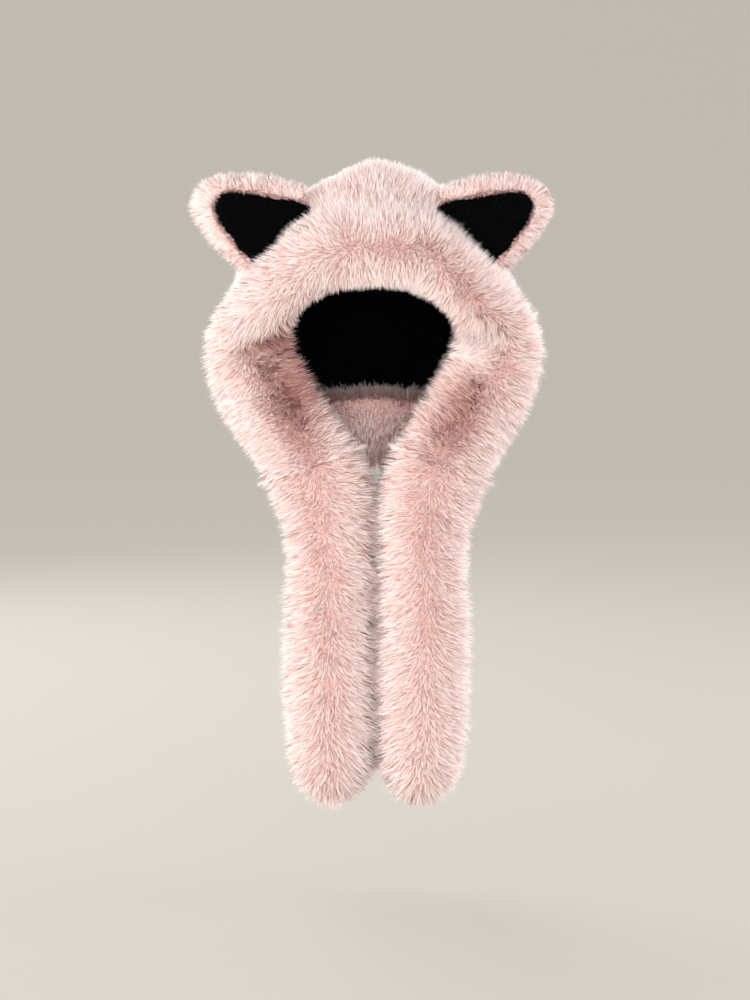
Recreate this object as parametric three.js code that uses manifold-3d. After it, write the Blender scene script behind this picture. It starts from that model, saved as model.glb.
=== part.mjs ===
// An animal hood scarf in deep faux fur, held in the shape it has when it is worn.
// A soft hood with a plush lining carries one long fur strip round its face edge. The strip runs on below
// the chin as two scarf ends. Two pointed ears stand at the temples, each with a dark plush panel in front,
// and a fur collar closes the hood behind the neck.
// Millimetres. +X is to the right seen from the front, +Y goes to the back of the head, +Z is up.
// The origin is the top of the hollow, where the crown of a head carries the hood.
import * as THREE from "three";
import { mergeVertices } from "three/addons/utils/BufferGeometryUtils.js";
import Module from "manifold-3d";

const wasm = await Module();
wasm.setup();

// Driving dimensions of the hood.
const hollowHeight = 330; // from the crown seat down to the hood's lower edge
const hollowHalfWidth = 165;
const hollowFront = 60; // from the seat forward
const hollowBack = 145; // from the seat backward
const pile = 26; // depth of the fur over its woven backing
const backing = 2;
const liningWall = 2.5;
const seamGap = 0.4; // clearance between pieces that are sewn together
const lockSlack = 0.9; // how far the tips of the locks stand over the smooth form at most

// Driving dimensions of the fur strip and the scarf ends.
const stripReachAcross = 230; // half of the width over the cheeks
const stripReachDown = 838; // from the crown seat to the tips of the scarf ends
const stripThickness = 78;
const stripForward = 86; // from the seat forward to the middle of the strip
const scarfSplit = 3; // space between the two scarf ends
const scarfWidth = 125; // one hanging end, from its inner to its outer edge

// Driving dimensions of the ears.
const earThickness = 46;
const earForward = 56; // from the seat forward to the middle of an ear
const panelThickness = 9;
const panelSink = 4; // how deep the panel's front lies behind the fur round it

// Driving dimensions of the collar.
const collarHeight = 112;
const collarThickness = 50;
const collarHalfWidth = 92; // of its middle line
const collarBack = 80;
const collarDrop = 0.2; // of its height, from the hood's lower edge down to its middle

// The locks of the pile: the step from one lock to the next, and how deep the furrows between them are.
const lockStep = 18;
const lockDepth = 7;
const hoodLockStep = 25;
const shortLockStep = 16; // on the ears
const shortLockDepth = 5; // on the ears and the collar
const lockSlip = 0.55; // how far a lock's tip leans over the next one, as a share of a step
const liningStep = 42; // the plain facets of the lining
const panelStep = 20;

// How round a section is: 1 for an ellipse, less for a squarer one.
const hoodRoundness = 0.93;
const flatRoundness = 0.93;
const collarRoundness = 0.85;

// Sections of the hollow, from its lower edge up to the seat. down is a share of hollowHeight, half of
// hollowHalfWidth, front of hollowFront and back of hollowBack. square is 2 for a round front and 4 for a
// square one.
const hollowSections = [
  { down: 1.0, half: 0.6, front: 0.5, back: 0.57, square: 2.6 },
  { down: 0.9, half: 0.78, front: 0.95, back: 0.72, square: 3.2 },
  { down: 0.75, half: 0.95, front: 1.0, back: 0.92, square: 3.6 },
  { down: 0.6, half: 1.0, front: 1.0, back: 1.0, square: 3.6 },
  { down: 0.45, half: 0.98, front: 1.02, back: 1.0, square: 3.2 },
  { down: 0.3, half: 0.87, front: 1.08, back: 0.93, square: 2.6 },
  { down: 0.17, half: 0.69, front: 1.1, back: 0.79, square: 2.3 },
  { down: 0.08, half: 0.46, front: 0.92, back: 0.57, square: 2.1 },
  { down: 0.025, half: 0.22, front: 0.5, back: 0.3, square: 2.0 },
  { down: 0.0, half: 0.02, front: 0.05, back: 0.02, square: 2.0 },
];

// Sections of the fur strip from the middle of the forehead to the chin, one side of it. Each lies between
// a near edge, at the face opening, and a far edge. Across is a share of stripReachAcross, down of
// hollowHeight, forward of stripForward and thick of stripThickness.
const bandSections = [
  { nearAcross: 0.0, nearDown: 0.45, farAcross: 0.0, farDown: 0.1, forward: 1.06, thick: 0.96 },
  { nearAcross: 0.17, nearDown: 0.455, farAcross: 0.27, farDown: 0.115, forward: 1.06, thick: 0.96 },
  { nearAcross: 0.32, nearDown: 0.5, farAcross: 0.49, farDown: 0.2, forward: 1.05, thick: 0.96 },
  { nearAcross: 0.42, nearDown: 0.56, farAcross: 0.72, farDown: 0.35, forward: 1.0, thick: 0.98 },
  { nearAcross: 0.45, nearDown: 0.615, farAcross: 0.9, farDown: 0.5, forward: 0.9, thick: 1.0 },
  { nearAcross: 0.43, nearDown: 0.68, farAcross: 0.98, farDown: 0.64, forward: 0.8, thick: 1.0 },
  { nearAcross: 0.375, nearDown: 0.76, farAcross: 0.96, farDown: 0.79, forward: 0.76, thick: 1.0 },
  { nearAcross: 0.3, nearDown: 0.85, farAcross: 0.88, farDown: 0.93, forward: 0.79, thick: 0.98 },
  { nearAcross: 0.2, nearDown: 0.95, farAcross: 0.77, farDown: 1.06, forward: 0.86, thick: 0.98 },
  { nearAcross: 0.085, nearDown: 1.06, farAcross: 0.64, farDown: 1.2, forward: 0.92, thick: 0.98 },
];

// Sections of one scarf end from the chin to its round tip. down is a share of the way from the last section
// of the band to the tip. near and far are shares of scarfWidth from the middle gap, and drop is how much
// lower the far edge lies, as a share of hollowHeight.
const scarfSections = [
  { down: 0.09, near: 0.0, far: 1.09, drop: 0.1, forward: 0.94, thick: 0.99 },
  { down: 0.18, near: 0.0, far: 0.985, drop: 0.05, forward: 0.97, thick: 1.0 },
  { down: 0.28, near: 0.0, far: 0.955, drop: 0.01, forward: 0.99, thick: 1.0 },
  { down: 0.42, near: 0.0, far: 0.98, drop: 0.0, forward: 1.0, thick: 1.02 },
  { down: 0.57, near: 0.0, far: 1.0, drop: 0.0, forward: 1.0, thick: 1.04 },
  { down: 0.72, near: 0.0, far: 0.98, drop: 0.0, forward: 1.0, thick: 1.04 },
  { down: 0.85, near: 0.01, far: 0.94, drop: 0.0, forward: 1.0, thick: 1.0 },
  { down: 0.935, near: 0.08, far: 0.85, drop: 0.0, forward: 1.0, thick: 0.86 },
  { down: 0.98, near: 0.2, far: 0.71, drop: 0.0, forward: 1.0, thick: 0.6 },
  { down: 1.0, near: 0.38, far: 0.53, drop: 0.0, forward: 1.0, thick: 0.2 },
];

// Sections of the right ear from inside the hood to its round tip, between its upper edge and its lower edge.
// The columns are those of bandSections, with forward of earForward and thick of earThickness.
const earSections = [
  { nearAcross: 0.18, nearDown: 0.12, farAcross: 0.6, farDown: 0.46, forward: 1.0, thick: 1.0 },
  { nearAcross: 0.34, nearDown: 0.04, farAcross: 0.74, farDown: 0.365, forward: 1.0, thick: 1.0 },
  { nearAcross: 0.54, nearDown: -0.005, farAcross: 0.84, farDown: 0.295, forward: 0.97, thick: 1.0 },
  { nearAcross: 0.72, nearDown: -0.02, farAcross: 0.925, farDown: 0.225, forward: 0.94, thick: 0.96 },
  { nearAcross: 0.86, nearDown: -0.01, farAcross: 0.99, farDown: 0.155, forward: 0.91, thick: 0.86 },
  { nearAcross: 0.95, nearDown: 0.015, farAcross: 1.02, farDown: 0.115, forward: 0.89, thick: 0.6 },
  { nearAcross: 1.0, nearDown: 0.05, farAcross: 1.025, farDown: 0.08, forward: 0.88, thick: 0.2 },
];

// Sections of the dark panel in front of the right ear, in the columns of earSections.
const panelSections = [
  { nearAcross: 0.2, nearDown: 0.18, farAcross: 0.58, farDown: 0.42, forward: 1.0, thick: 1.0 },
  { nearAcross: 0.36, nearDown: 0.1, farAcross: 0.7, farDown: 0.32, forward: 1.0, thick: 1.0 },
  { nearAcross: 0.54, nearDown: 0.072, farAcross: 0.79, farDown: 0.24, forward: 0.97, thick: 1.0 },
  { nearAcross: 0.71, nearDown: 0.055, farAcross: 0.86, farDown: 0.17, forward: 0.94, thick: 1.0 },
  { nearAcross: 0.81, nearDown: 0.048, farAcross: 0.895, farDown: 0.118, forward: 0.92, thick: 1.0 },
  { nearAcross: 0.86, nearDown: 0.06, farAcross: 0.9, farDown: 0.088, forward: 0.92, thick: 1.0 },
];

// Sections of the collar from the nape to its front end, one side of it. around is the angle from the nape.
const collarSections = [
  { around: 0, rise: 0.16, high: 0.94, thick: 1.0 },
  { around: 40, rise: 0.1, high: 0.96, thick: 1.0 },
  { around: 80, rise: 0.02, high: 1.0, thick: 1.0 },
  { around: 112, rise: -0.06, high: 1.0, thick: 1.0 },
  { around: 138, rise: -0.12, high: 0.94, thick: 0.9 },
];

// Folds and dents of the strip. along counts the sections of bandSections from the forehead, around is the
// angle on the section from its outer edge over the front, deep is a share of stripThickness.
const bandDents = [
  { along: 4.9, around: 130, deep: 0.42, length: 0.45, spread: 36 },
  { along: 5.0, around: 92, deep: 0.16, length: 0.5, spread: 24 },
  { along: 6.4, around: 126, deep: 0.2, length: 1.1, spread: 30 },
];

// Soft folds of the hood. along counts the sections of hollowSections from the lower edge, around is the
// angle from the right side over the back, deep is a share of pile.
const hoodDents = [
  { along: 2.0, around: 90, deep: 0.3, length: 6.0, spread: 5 },
  { along: 0.6, around: 45, deep: 0.5, length: 1.4, spread: 9 },
  { along: 0.6, around: 135, deep: 0.5, length: 1.4, spread: 9 },
  { along: 0.5, around: 68, deep: 0.35, length: 1.0, spread: 6 },
  { along: 0.5, around: 112, deep: 0.35, length: 1.0, spread: 6 },
];

const up = new THREE.Vector3(0, 0, 1);
const forward = new THREE.Vector3(0, -1, 0);

// A smooth curve through up to three columns of a table, read by a row number that may lie between rows.
function track(rows, x, y, z) {
  const points = rows.map((row) => new THREE.Vector3(x(row), y ? y(row) : 0, z ? z(row) : 0));
  const curve = new THREE.CatmullRomCurve3(points, false, "catmullrom", 0.5);
  return (row) => curve.getPoint(THREE.MathUtils.clamp(row / (rows.length - 1), 0, 1));
}

// A round power, which keeps the sign: 1 gives an ellipse, less gives a squarer section.
function rounded(value, power) {
  return Math.sign(value) * Math.abs(value) ** power;
}

// The depth of a table of dents at one place on a surface, as a share.
function dentAt(dents, along, around) {
  let depth = 0;
  for (const dent of dents) {
    const away = ((around - dent.around + 540) % 360) - 180;
    depth += dent.deep * Math.exp(-(((along - dent.along) / dent.length) ** 2) - (away / dent.spread) ** 2);
  }
  return depth;
}

const rowNudge = 0.04; // of a row of a table, to measure a slope along a form
const turnNudge = 4; // degrees, to measure a slope around a form
const fullTurn = 360;

// The outward normal of a form, from the places next to one on it.
function normalAt(place, along, around) {
  const alongStep = place(along + rowNudge, around).sub(place(along - rowNudge, around));
  const aroundStep = place(along, around + turnNudge).sub(place(along, around - turnNudge));
  return aroundStep.cross(alongStep).normalize();
}

// The length of a route through a form, from share 0 to share 1.
function routeLength(route) {
  const parts = 24;
  let length = 0;
  for (let i = 0; i < parts; i++) length += route(i / parts).distanceTo(route((i + 1) / parts));
  return length;
}

// A closed solid over a grid of rings, step apart. Rings with locks alternate between tips, which lie on the
// form and lean towards slip, and furrows, which lie depth below it. grow moves the whole surface out.
function skin(place, { from, to, step, grow = 0, depth = 0, slip = () => 1 }) {
  const lengthwise = routeLength((share) => place(THREE.MathUtils.lerp(from, to, share), fullTurn / 4));
  const girth = routeLength((share) => place(THREE.MathUtils.lerp(from, to, 1 / 3), share * fullTurn));
  const rings = Math.max(4, Math.round(lengthwise / step));
  const sides = 2 * Math.max(5, Math.round(girth / step / 2));
  const rowStep = (to - from) / rings;
  const positions = [];
  for (let i = 0; i <= rings; i++) {
    for (let j = 0; j < sides; j++) {
      const inside = i > 0 && i < rings;
      const tip = (i + j) % 2 === 0;
      const lean = inside && tip && depth > 0 ? lockSlip * slip(i - rings / 2) : 0;
      const along = from + (i + lean) * rowStep;
      const around = (j * fullTurn) / sides;
      const sink = inside && !tip ? depth : 0;
      const outward = normalAt(place, THREE.MathUtils.clamp(along, from, to), around);
      const point = place(along, around).addScaledVector(outward, grow - sink);
      positions.push(point.x, point.y, point.z);
    }
  }
  const index = [];
  for (let i = 0; i < rings; i++) {
    for (let j = 0; j < sides; j++) {
      const next = (j + 1) % sides;
      const [a, b] = [i * sides + j, i * sides + next];
      const [c, d] = [b + sides, a + sides];
      if ((i + j) % 2 === 0) index.push(a, b, d, b, c, d);
      else index.push(a, b, c, a, c, d);
    }
  }
  for (const [ring, turned] of [[0, true], [rings, false]]) {
    const centre = new THREE.Vector3();
    for (let j = 0; j < sides; j++) {
      centre.add(new THREE.Vector3().fromArray(positions, (ring * sides + j) * 3));
    }
    centre.divideScalar(sides);
    const hub = positions.length / 3;
    positions.push(centre.x, centre.y, centre.z);
    for (let j = 0; j < sides; j++) {
      const [a, b] = [ring * sides + j, ring * sides + ((j + 1) % sides)];
      index.push(hub, ...(turned ? [b, a] : [a, b]));
    }
  }
  return solidOf(new Float32Array(positions), new Uint32Array(index));
}

// A manifold solid from vertices and triangles, turned the right way out.
function solidOf(vertProperties, triVerts) {
  const made = new wasm.Manifold(new wasm.Mesh({ numProp: 3, vertProperties, triVerts }));
  if (made.volume() > 0) return made;
  const turned = triVerts.slice().reverse();
  return new wasm.Manifold(new wasm.Mesh({ numProp: 3, vertProperties, triVerts: turned }));
}

// A manifold solid from a three.js geometry.
function solidFrom(geometry) {
  geometry.deleteAttribute("normal");
  geometry.deleteAttribute("uv");
  const merged = mergeVertices(geometry, 1e-3);
  return solidOf(merged.attributes.position.array, new Uint32Array(merged.index.array));
}

// The largest body of a solid, without the crumbs that a cut can leave.
function largest(solid) {
  return solid.decompose().sort((a, b) => b.volume() - a.volume())[0];
}

// A solid with a seam's gap round it, to cut its neighbours back from it.
const seamSteps = [[1, 0, 0], [0, 1, 0], [0, 0, 1], [-1, 0, 0], [0, -1, 0], [0, 0, -1]];

function clearOf(solid) {
  let around = solid;
  for (const step of seamSteps) around = around.add(solid.translate(step.map((share) => share * seamGap)));
  return around;
}

// The head hollow and the forms round it. along is a row of hollowSections, around is 0 on the right and 90
// at the back.
const hollowSize = track(
  hollowSections,
  (row) => row.half * hollowHalfWidth,
  (row) => row.front * hollowFront,
  (row) => row.back * hollowBack,
);
const hollowLevel = track(hollowSections, (row) => -row.down * hollowHeight, (row) => row.square);

function hollowPlace(along, around) {
  const size = hollowSize(along);
  const level = hollowLevel(along);
  const angle = THREE.MathUtils.degToRad(around);
  const front = Math.sin(angle) < 0;
  const power = front ? 2 / level.y : hoodRoundness;
  const reach = front ? size.y : size.z;
  const fold = 1 - (dentAt(hoodDents, along, around) * pile) / hollowHalfWidth;
  return new THREE.Vector3(
    size.x * fold * rounded(Math.cos(angle), power),
    reach * fold * rounded(Math.sin(angle), power),
    level.x,
  );
}

const topRow = hollowSections.length - 1;

function hoodForm(grow, options) {
  return skin(hollowPlace, { from: 0, to: topRow, grow, ...options });
}

// A block below the hood's lower edge, which opens the hollow downwards.
const lowerEdge = new THREE.BoxGeometry(4 * hollowHalfWidth, 4 * hollowBack, hollowHeight);
lowerEdge.translate(0, 0, -hollowHeight - hollowHeight / 2);
const belowHood = solidFrom(lowerEdge);

// One place on a flat form between a near and a far edge. around is 0 at the far edge, 90 in front and 180 at
// the near edge.
function flatPoint(near, far, bulk, around, dent = 0) {
  const angle = THREE.MathUtils.degToRad(around);
  return near
    .clone()
    .add(far)
    .multiplyScalar(0.5)
    .addScaledVector(far.clone().sub(near), rounded(Math.cos(angle), flatRoundness) / 2)
    .addScaledVector(forward, bulk.x - dent)
    .addScaledVector(forward, (bulk.y / 2) * rounded(Math.sin(angle), flatRoundness));
}

// One edge of a flat form, from two columns of its table of sections.
function edgeTrack(rows, across, down) {
  return track(rows, (row) => row[across] * stripReachAcross, null, (row) => -row[down] * hollowHeight);
}

// The edges and the bulk of a flat form, from its table of sections.
function flatTracks(rows, fullForward, fullThickness) {
  return {
    last: rows.length - 1,
    near: edgeTrack(rows, "nearAcross", "nearDown"),
    far: edgeTrack(rows, "farAcross", "farDown"),
    bulk: track(rows, (row) => row.forward * fullForward, (row) => row.thick * fullThickness),
  };
}

// The strip along the face edge. along is a row of bandSections, negative on the left side.
const bandTracks = flatTracks(bandSections, stripForward, stripThickness);
const chinRow = bandTracks.last;

function bandPlace(along, around) {
  const row = Math.abs(along);
  const dent = dentAt(bandDents, row, around) * stripThickness;
  const point = flatPoint(bandTracks.near(row), bandTracks.far(row), bandTracks.bulk(row), around, dent);
  point.x *= Math.sign(along);
  return point;
}

function bandForm(options) {
  return skin(bandPlace, { from: -chinRow, to: chinRow, step: lockStep, slip: Math.sign, ...options });
}

// The scarf ends. Their first section is the last one of the band, a seam's gap further down.
const chinNear = bandTracks.near(chinRow);
const chinSection = bandSections[chinRow];
const scarfRows = [
  chinSection,
  ...scarfSections.map((row) => {
    const level = THREE.MathUtils.lerp(-chinNear.z, stripReachDown, row.down) / hollowHeight;
    return {
      nearAcross: (scarfSplit / 2 + row.near * scarfWidth) / stripReachAcross,
      nearDown: level,
      farAcross: (scarfSplit / 2 + row.far * scarfWidth) / stripReachAcross,
      farDown: level + row.drop,
      forward: row.forward,
      thick: row.thick,
    };
  }),
];
const scarfTracks = flatTracks(scarfRows, stripForward, stripThickness);
const seamShift = new THREE.Vector3(0, 0, -seamGap);

function scarfForm(options) {
  const { near, far, bulk, last } = scarfTracks;
  const place = (along, around) => flatPoint(near(along), far(along), bulk(along), around).add(seamShift);
  return skin(place, { from: 0, to: last, step: lockStep, ...options });
}

// The face opening in the hood. Its outline follows the strip between the near edge, share 0, and the far
// edge, share 1, and the opening goes forward from start.
const outlineStep = 0.5; // of a row of bandSections

function faceCut(share, start) {
  const outline = [];
  for (let row = -chinRow; row <= chinRow; row += outlineStep) {
    const place = bandPlace(row, 180).lerp(bandPlace(row, 0), share);
    outline.push(new THREE.Vector2(place.x, place.z));
  }
  const shape = new THREE.Shape(outline);
  const geometry = new THREE.ExtrudeGeometry(shape, { depth: 3 * stripForward, bevelEnabled: false });
  geometry.rotateX(Math.PI / 2);
  geometry.translate(0, -start, 0);
  return solidFrom(geometry);
}

// The right ear and its panel.
const earTracks = flatTracks(earSections, earForward, earThickness);
const panelForward = earForward + (earThickness - panelThickness) / 2 - panelSink;
const panelTracks = flatTracks(panelSections, panelForward, panelThickness);

function earForm({ near, far, bulk, last }, options) {
  const place = (along, around) => flatPoint(near(along), far(along), bulk(along), around);
  return skin(place, { from: 0, to: last, ...options });
}

// The collar round the nape. along is a row of collarSections, negative on the left. around is 0 at the top
// and 90 on the outside.
const collarTrack = track(
  collarSections,
  (row) => row.around,
  (row) => (row.high * collarHeight) / 2,
  (row) => (row.thick * collarThickness) / 2,
);
const collarRise = track(collarSections, (row) => row.rise * collarHeight);
const collarLevel = -hollowHeight - collarHeight * collarDrop;

function collarPlace(along, around) {
  const row = Math.abs(along);
  const side = along < 0 ? -1 : 1;
  const size = collarTrack(row);
  const turn = THREE.MathUtils.degToRad(size.x);
  const outward = new THREE.Vector3(Math.sin(turn) * side, Math.cos(turn), 0);
  const angle = THREE.MathUtils.degToRad(around);
  const level = collarLevel + collarRise(row).x;
  return new THREE.Vector3(outward.x * collarHalfWidth, outward.y * collarBack, level)
    .addScaledVector(up, size.y * rounded(Math.cos(angle), collarRoundness))
    .addScaledVector(outward, size.z * rounded(Math.sin(angle), collarRoundness));
}

function collarForm(options) {
  const last = collarSections.length - 1;
  return skin(collarPlace, { from: -last, to: last, step: lockStep, slip: Math.sign, ...options });
}

// The pieces, each cut back from the ones that it is sewn to.
const furDepth = { depth: lockDepth };
const shellInside = liningWall + seamGap;
const shellOutside = shellInside + backing + pile;
const clearance = seamGap + lockSlack;
const openFace = faceCut(1 / 2, stripForward / 2).add(faceCut(1 / 4, 0));
const band = bandForm(furDepth);
const bandAround = bandForm({ grow: clearance }).add(clearOf(band));
const backwards = () => -1;
const outerShell = hoodForm(shellOutside, { step: hoodLockStep, slip: backwards, ...furDepth });
const shellAround = hoodForm(shellOutside + clearance, { step: hoodLockStep }).subtract(belowHood);
const cutOpen = (wall) => largest(wall.subtract(belowHood).subtract(openFace).subtract(bandAround));
const hollow = hoodForm(0, { step: liningStep });
const hoodShell = cutOpen(outerShell.subtract(hoodForm(shellInside, { step: liningStep })));
const lining = cutOpen(hoodForm(liningWall, { step: liningStep }).subtract(hollow));
const scarfEnd = largest(scarfForm(furDepth).subtract(bandAround));
const scarfAround = scarfForm({ grow: clearance }).add(clearOf(scarfEnd));
const collar = largest(
  collarForm({ depth: shortLockDepth })
    .subtract(shellAround.subtract(hollow))
    .subtract(bandAround)
    .subtract(scarfAround)
    .subtract(scarfAround.mirror([1, 0, 0])),
);
const cutAtBase = (form) => form.subtract(shellAround).subtract(bandAround);
const pad = earForm(panelTracks, { step: panelStep });
const padForward = pad.translate(forward.clone().multiplyScalar(earThickness).toArray());
const recess = clearOf(wasm.Manifold.hull([pad, padForward]));
const panelPad = largest(cutAtBase(pad));
const ear = earForm(earTracks, { step: shortLockStep, depth: shortLockDepth });
const earFur = largest(cutAtBase(ear).subtract(recess));

const furColour = 0xe3bdb6;
const plushColour = 0x0c0c0e;
const fur = { roughness: 0.85, metalness: 0 };
const plush = { roughness: 0.95, metalness: 0 };

// A named mesh with its own material, from a solid.
function node(name, solid, colour, finish) {
  const mesh = solid.getMesh();
  const geometry = new THREE.BufferGeometry();
  const positions = new Float32Array(mesh.numVert * 3);
  for (let i = 0; i < mesh.numVert; i++) {
    positions.set(mesh.vertProperties.subarray(i * mesh.numProp, i * mesh.numProp + 3), i * 3);
  }
  geometry.setAttribute("position", new THREE.BufferAttribute(positions, 3));
  geometry.setIndex(new THREE.BufferAttribute(mesh.triVerts, 1));
  geometry.computeVertexNormals();
  const made = new THREE.Mesh(geometry, new THREE.MeshStandardMaterial({ color: colour, ...finish }));
  made.name = name;
  return made;
}

const hood = new THREE.Group();
hood.add(node("hood_shell", hoodShell, furColour, fur));
hood.add(node("hood_lining", lining, plushColour, plush));
const strip = new THREE.Group();
strip.add(node("face_band", band, furColour, fur));
strip.add(node("collar", collar, furColour, fur));
const sides = new THREE.Group();
for (const [side, turn] of [["right", (solid) => solid], ["left", (solid) => solid.mirror([1, 0, 0])]]) {
  sides.add(node(`scarf_end_${side}`, turn(scarfEnd), furColour, fur));
  sides.add(node(`ear_${side}`, turn(earFur), furColour, fur));
  sides.add(node(`ear_panel_${side}`, turn(panelPad), plushColour, plush));
}
const part = new THREE.Group();
part.add(hood, strip, sides);

export default part;
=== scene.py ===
"""Dresses an animal hood scarf in deep faux fur and black plush round its CAD frame.

All lengths are metres in the frame's own axes: +X to the right seen from the front, +Y to the back of the
head, +Z up, with the origin at the top of the hollow that a head fills.
"""

import logging
import math
from collections.abc import Callable
from dataclasses import dataclass, field
from enum import Enum

import bpy
import numpy as np
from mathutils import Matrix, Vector
from mathutils.bvhtree import BVHTree
from mathutils.kdtree import KDTree


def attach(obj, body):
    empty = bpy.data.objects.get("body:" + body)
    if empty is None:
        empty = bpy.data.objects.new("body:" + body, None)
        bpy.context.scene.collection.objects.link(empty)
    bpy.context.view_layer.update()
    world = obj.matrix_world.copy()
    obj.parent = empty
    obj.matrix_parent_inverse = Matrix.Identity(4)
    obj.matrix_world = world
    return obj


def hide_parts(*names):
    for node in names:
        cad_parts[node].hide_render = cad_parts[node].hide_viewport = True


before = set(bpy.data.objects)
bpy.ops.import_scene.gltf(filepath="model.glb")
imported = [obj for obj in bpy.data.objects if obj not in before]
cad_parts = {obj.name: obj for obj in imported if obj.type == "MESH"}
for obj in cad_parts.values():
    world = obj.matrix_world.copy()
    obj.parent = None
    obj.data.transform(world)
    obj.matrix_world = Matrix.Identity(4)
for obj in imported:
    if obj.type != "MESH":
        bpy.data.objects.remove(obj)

log = logging.getLogger("hood_scarf")

FUR_MAP = "OFBake"
FUR_SLOT = "fur"
PLUSH_SLOT = "plush"
FUR_NODES = (
    "hood_shell",
    "face_band",
    "collar",
    "scarf_end_left",
    "scarf_end_right",
    "ear_left",
    "ear_right",
)
PLUSH_NODES = ("hood_lining", "ear_panel_left", "ear_panel_right")

# Both read points and the normals at them. A flow gives a vector for each, and a measure gives a number.
Flow = Callable[[np.ndarray, np.ndarray], np.ndarray]
Measure = Callable[[np.ndarray, np.ndarray], np.ndarray]


class Side(Enum):
    """The two sides of the hood, seen from the front."""

    LEFT = -1
    RIGHT = 1

    @property
    def word(self) -> str:
        """The side's name as the frame's nodes spell it."""
        return self.name.lower()


@dataclass(frozen=True)
class Table:
    """Values at a few places in order, with straight runs between them."""

    at: tuple[float, ...]
    value: tuple[float, ...]

    def read(self, spots: np.ndarray) -> np.ndarray:
        """Gives the value at each place."""
        return np.interp(spots, self.at, self.value)


def unit(vectors: np.ndarray) -> np.ndarray:
    """Scales each row to length one, and leaves a row of zeros as it is."""
    lengths = np.linalg.norm(vectors, axis=-1, keepdims=True)
    return vectors / np.maximum(lengths, 1e-9)


def level(vectors: np.ndarray, normals: np.ndarray) -> np.ndarray:
    """Takes the part along the normals out of each row, and shortens what is longer than one.

    Args:
        vectors: The rows.
        normals: The normal for each of them.

    Returns:
        The rows after it.
    """
    along = (vectors * normals).sum(axis=-1, keepdims=True)
    flat = vectors - along * normals
    return flat / np.maximum(np.linalg.norm(flat, axis=-1, keepdims=True), 1.0)


def srgb(code: str) -> tuple[float, float, float, float]:
    """Turns a colour into the linear values that a shader takes.

    Args:
        code: The colour as six hexadecimal figures.

    Returns:
        Red, green, blue and alpha.
    """
    shares = [int(code[i : i + 2], 16) / 255 for i in (0, 2, 4)]
    linear = [s / 12.92 if s <= 0.04045 else ((s + 0.055) / 1.055) ** 2.4 for s in shares]
    return (linear[0], linear[1], linear[2], 1.0)


def waves(points: np.ndarray, step: float) -> np.ndarray:
    """Gives three smooth values from -1 to 1 at each place, which change over about one step.

    Args:
        points: The places.
        step: The length of a wave in metres.

    Returns:
        One row of three values for each place.
    """
    first = np.array([[0.9, 0.3, 0.5], [-0.4, 0.8, 0.6], [0.2, -0.7, 0.9]])
    second = np.array([[0.3, -0.8, 0.7], [0.9, 0.4, -0.3], [-0.6, 0.5, 0.8]])
    turns = points * (2 * math.pi / step)
    coarse = np.sin(turns @ first.T + (0.4, 1.7, 2.9))
    return coarse * np.cos(turns @ second.T * 0.63 + (1.1, 0.2, 2.3))


@dataclass(frozen=True)
class RampStop:
    """One colour of a ramp and its place on it."""

    at: float
    colour: str


class NodeSheet:
    """A material's nodes, placed and joined by short calls."""

    def __init__(self, name: str) -> None:
        """Starts a material with one principled shader.

        Args:
            name: The material's name.
        """
        self.material = bpy.data.materials.new(name)
        self.material.use_nodes = True
        self.tree = self.material.node_tree
        self.shader = self.tree.nodes["Principled BSDF"]

    def add(self, kind: str, **settings: object) -> bpy.types.Node:
        """Adds a node.

        Args:
            kind: The node's type.
            settings: Attributes of the node, or values of its inputs.

        Returns:
            The new node.
        """
        node = self.tree.nodes.new(kind)
        for key, value in settings.items():
            if hasattr(node, key):
                setattr(node, key, value)
            else:
                node.inputs[key.replace("_", " ").title()].default_value = value
        return node

    def join(self, start: bpy.types.NodeSocket, end: bpy.types.NodeSocket) -> None:
        """Links an output to an input."""
        self.tree.links.new(start, end)

    def ramp(self, share: bpy.types.NodeSocket, stops: tuple[RampStop, ...]) -> bpy.types.NodeSocket:
        """Adds a colour ramp over a value.

        Args:
            share: The value that the ramp reads.
            stops: Its colours in order.

        Returns:
            The ramp's colour output.
        """
        node = self.add("ShaderNodeValToRGB")
        elements = node.color_ramp.elements
        while len(elements) < len(stops):
            elements.new(0.5)
        for element, stop in zip(elements, stops):
            element.position = stop.at
            element.color = srgb(stop.colour)
        self.join(share, node.inputs["Fac"])
        return node.outputs["Color"]

    def multiplied(self, one: bpy.types.NodeSocket, other: bpy.types.NodeSocket) -> bpy.types.NodeSocket:
        """Multiplies two colours.

        Args:
            one: The first colour.
            other: The second colour.

        Returns:
            The product's output.
        """
        node = self.add("ShaderNodeMix", data_type="RGBA", blend_type="MULTIPLY")
        node.inputs["Factor"].default_value = 1.0
        self.join(one, node.inputs[6])
        self.join(other, node.inputs[7])
        return node.outputs[2]

    def bump(self, height: bpy.types.NodeSocket, strength: float, distance: float) -> None:
        """Raises the surface by a height.

        Args:
            height: The value that says how high.
            strength: The share of the height that shows.
            distance: The full height in metres.
        """
        node = self.add("ShaderNodeBump", strength=strength, distance=distance)
        self.join(height, node.inputs["Height"])
        self.join(node.outputs["Normal"], self.shader.inputs["Normal"])


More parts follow.
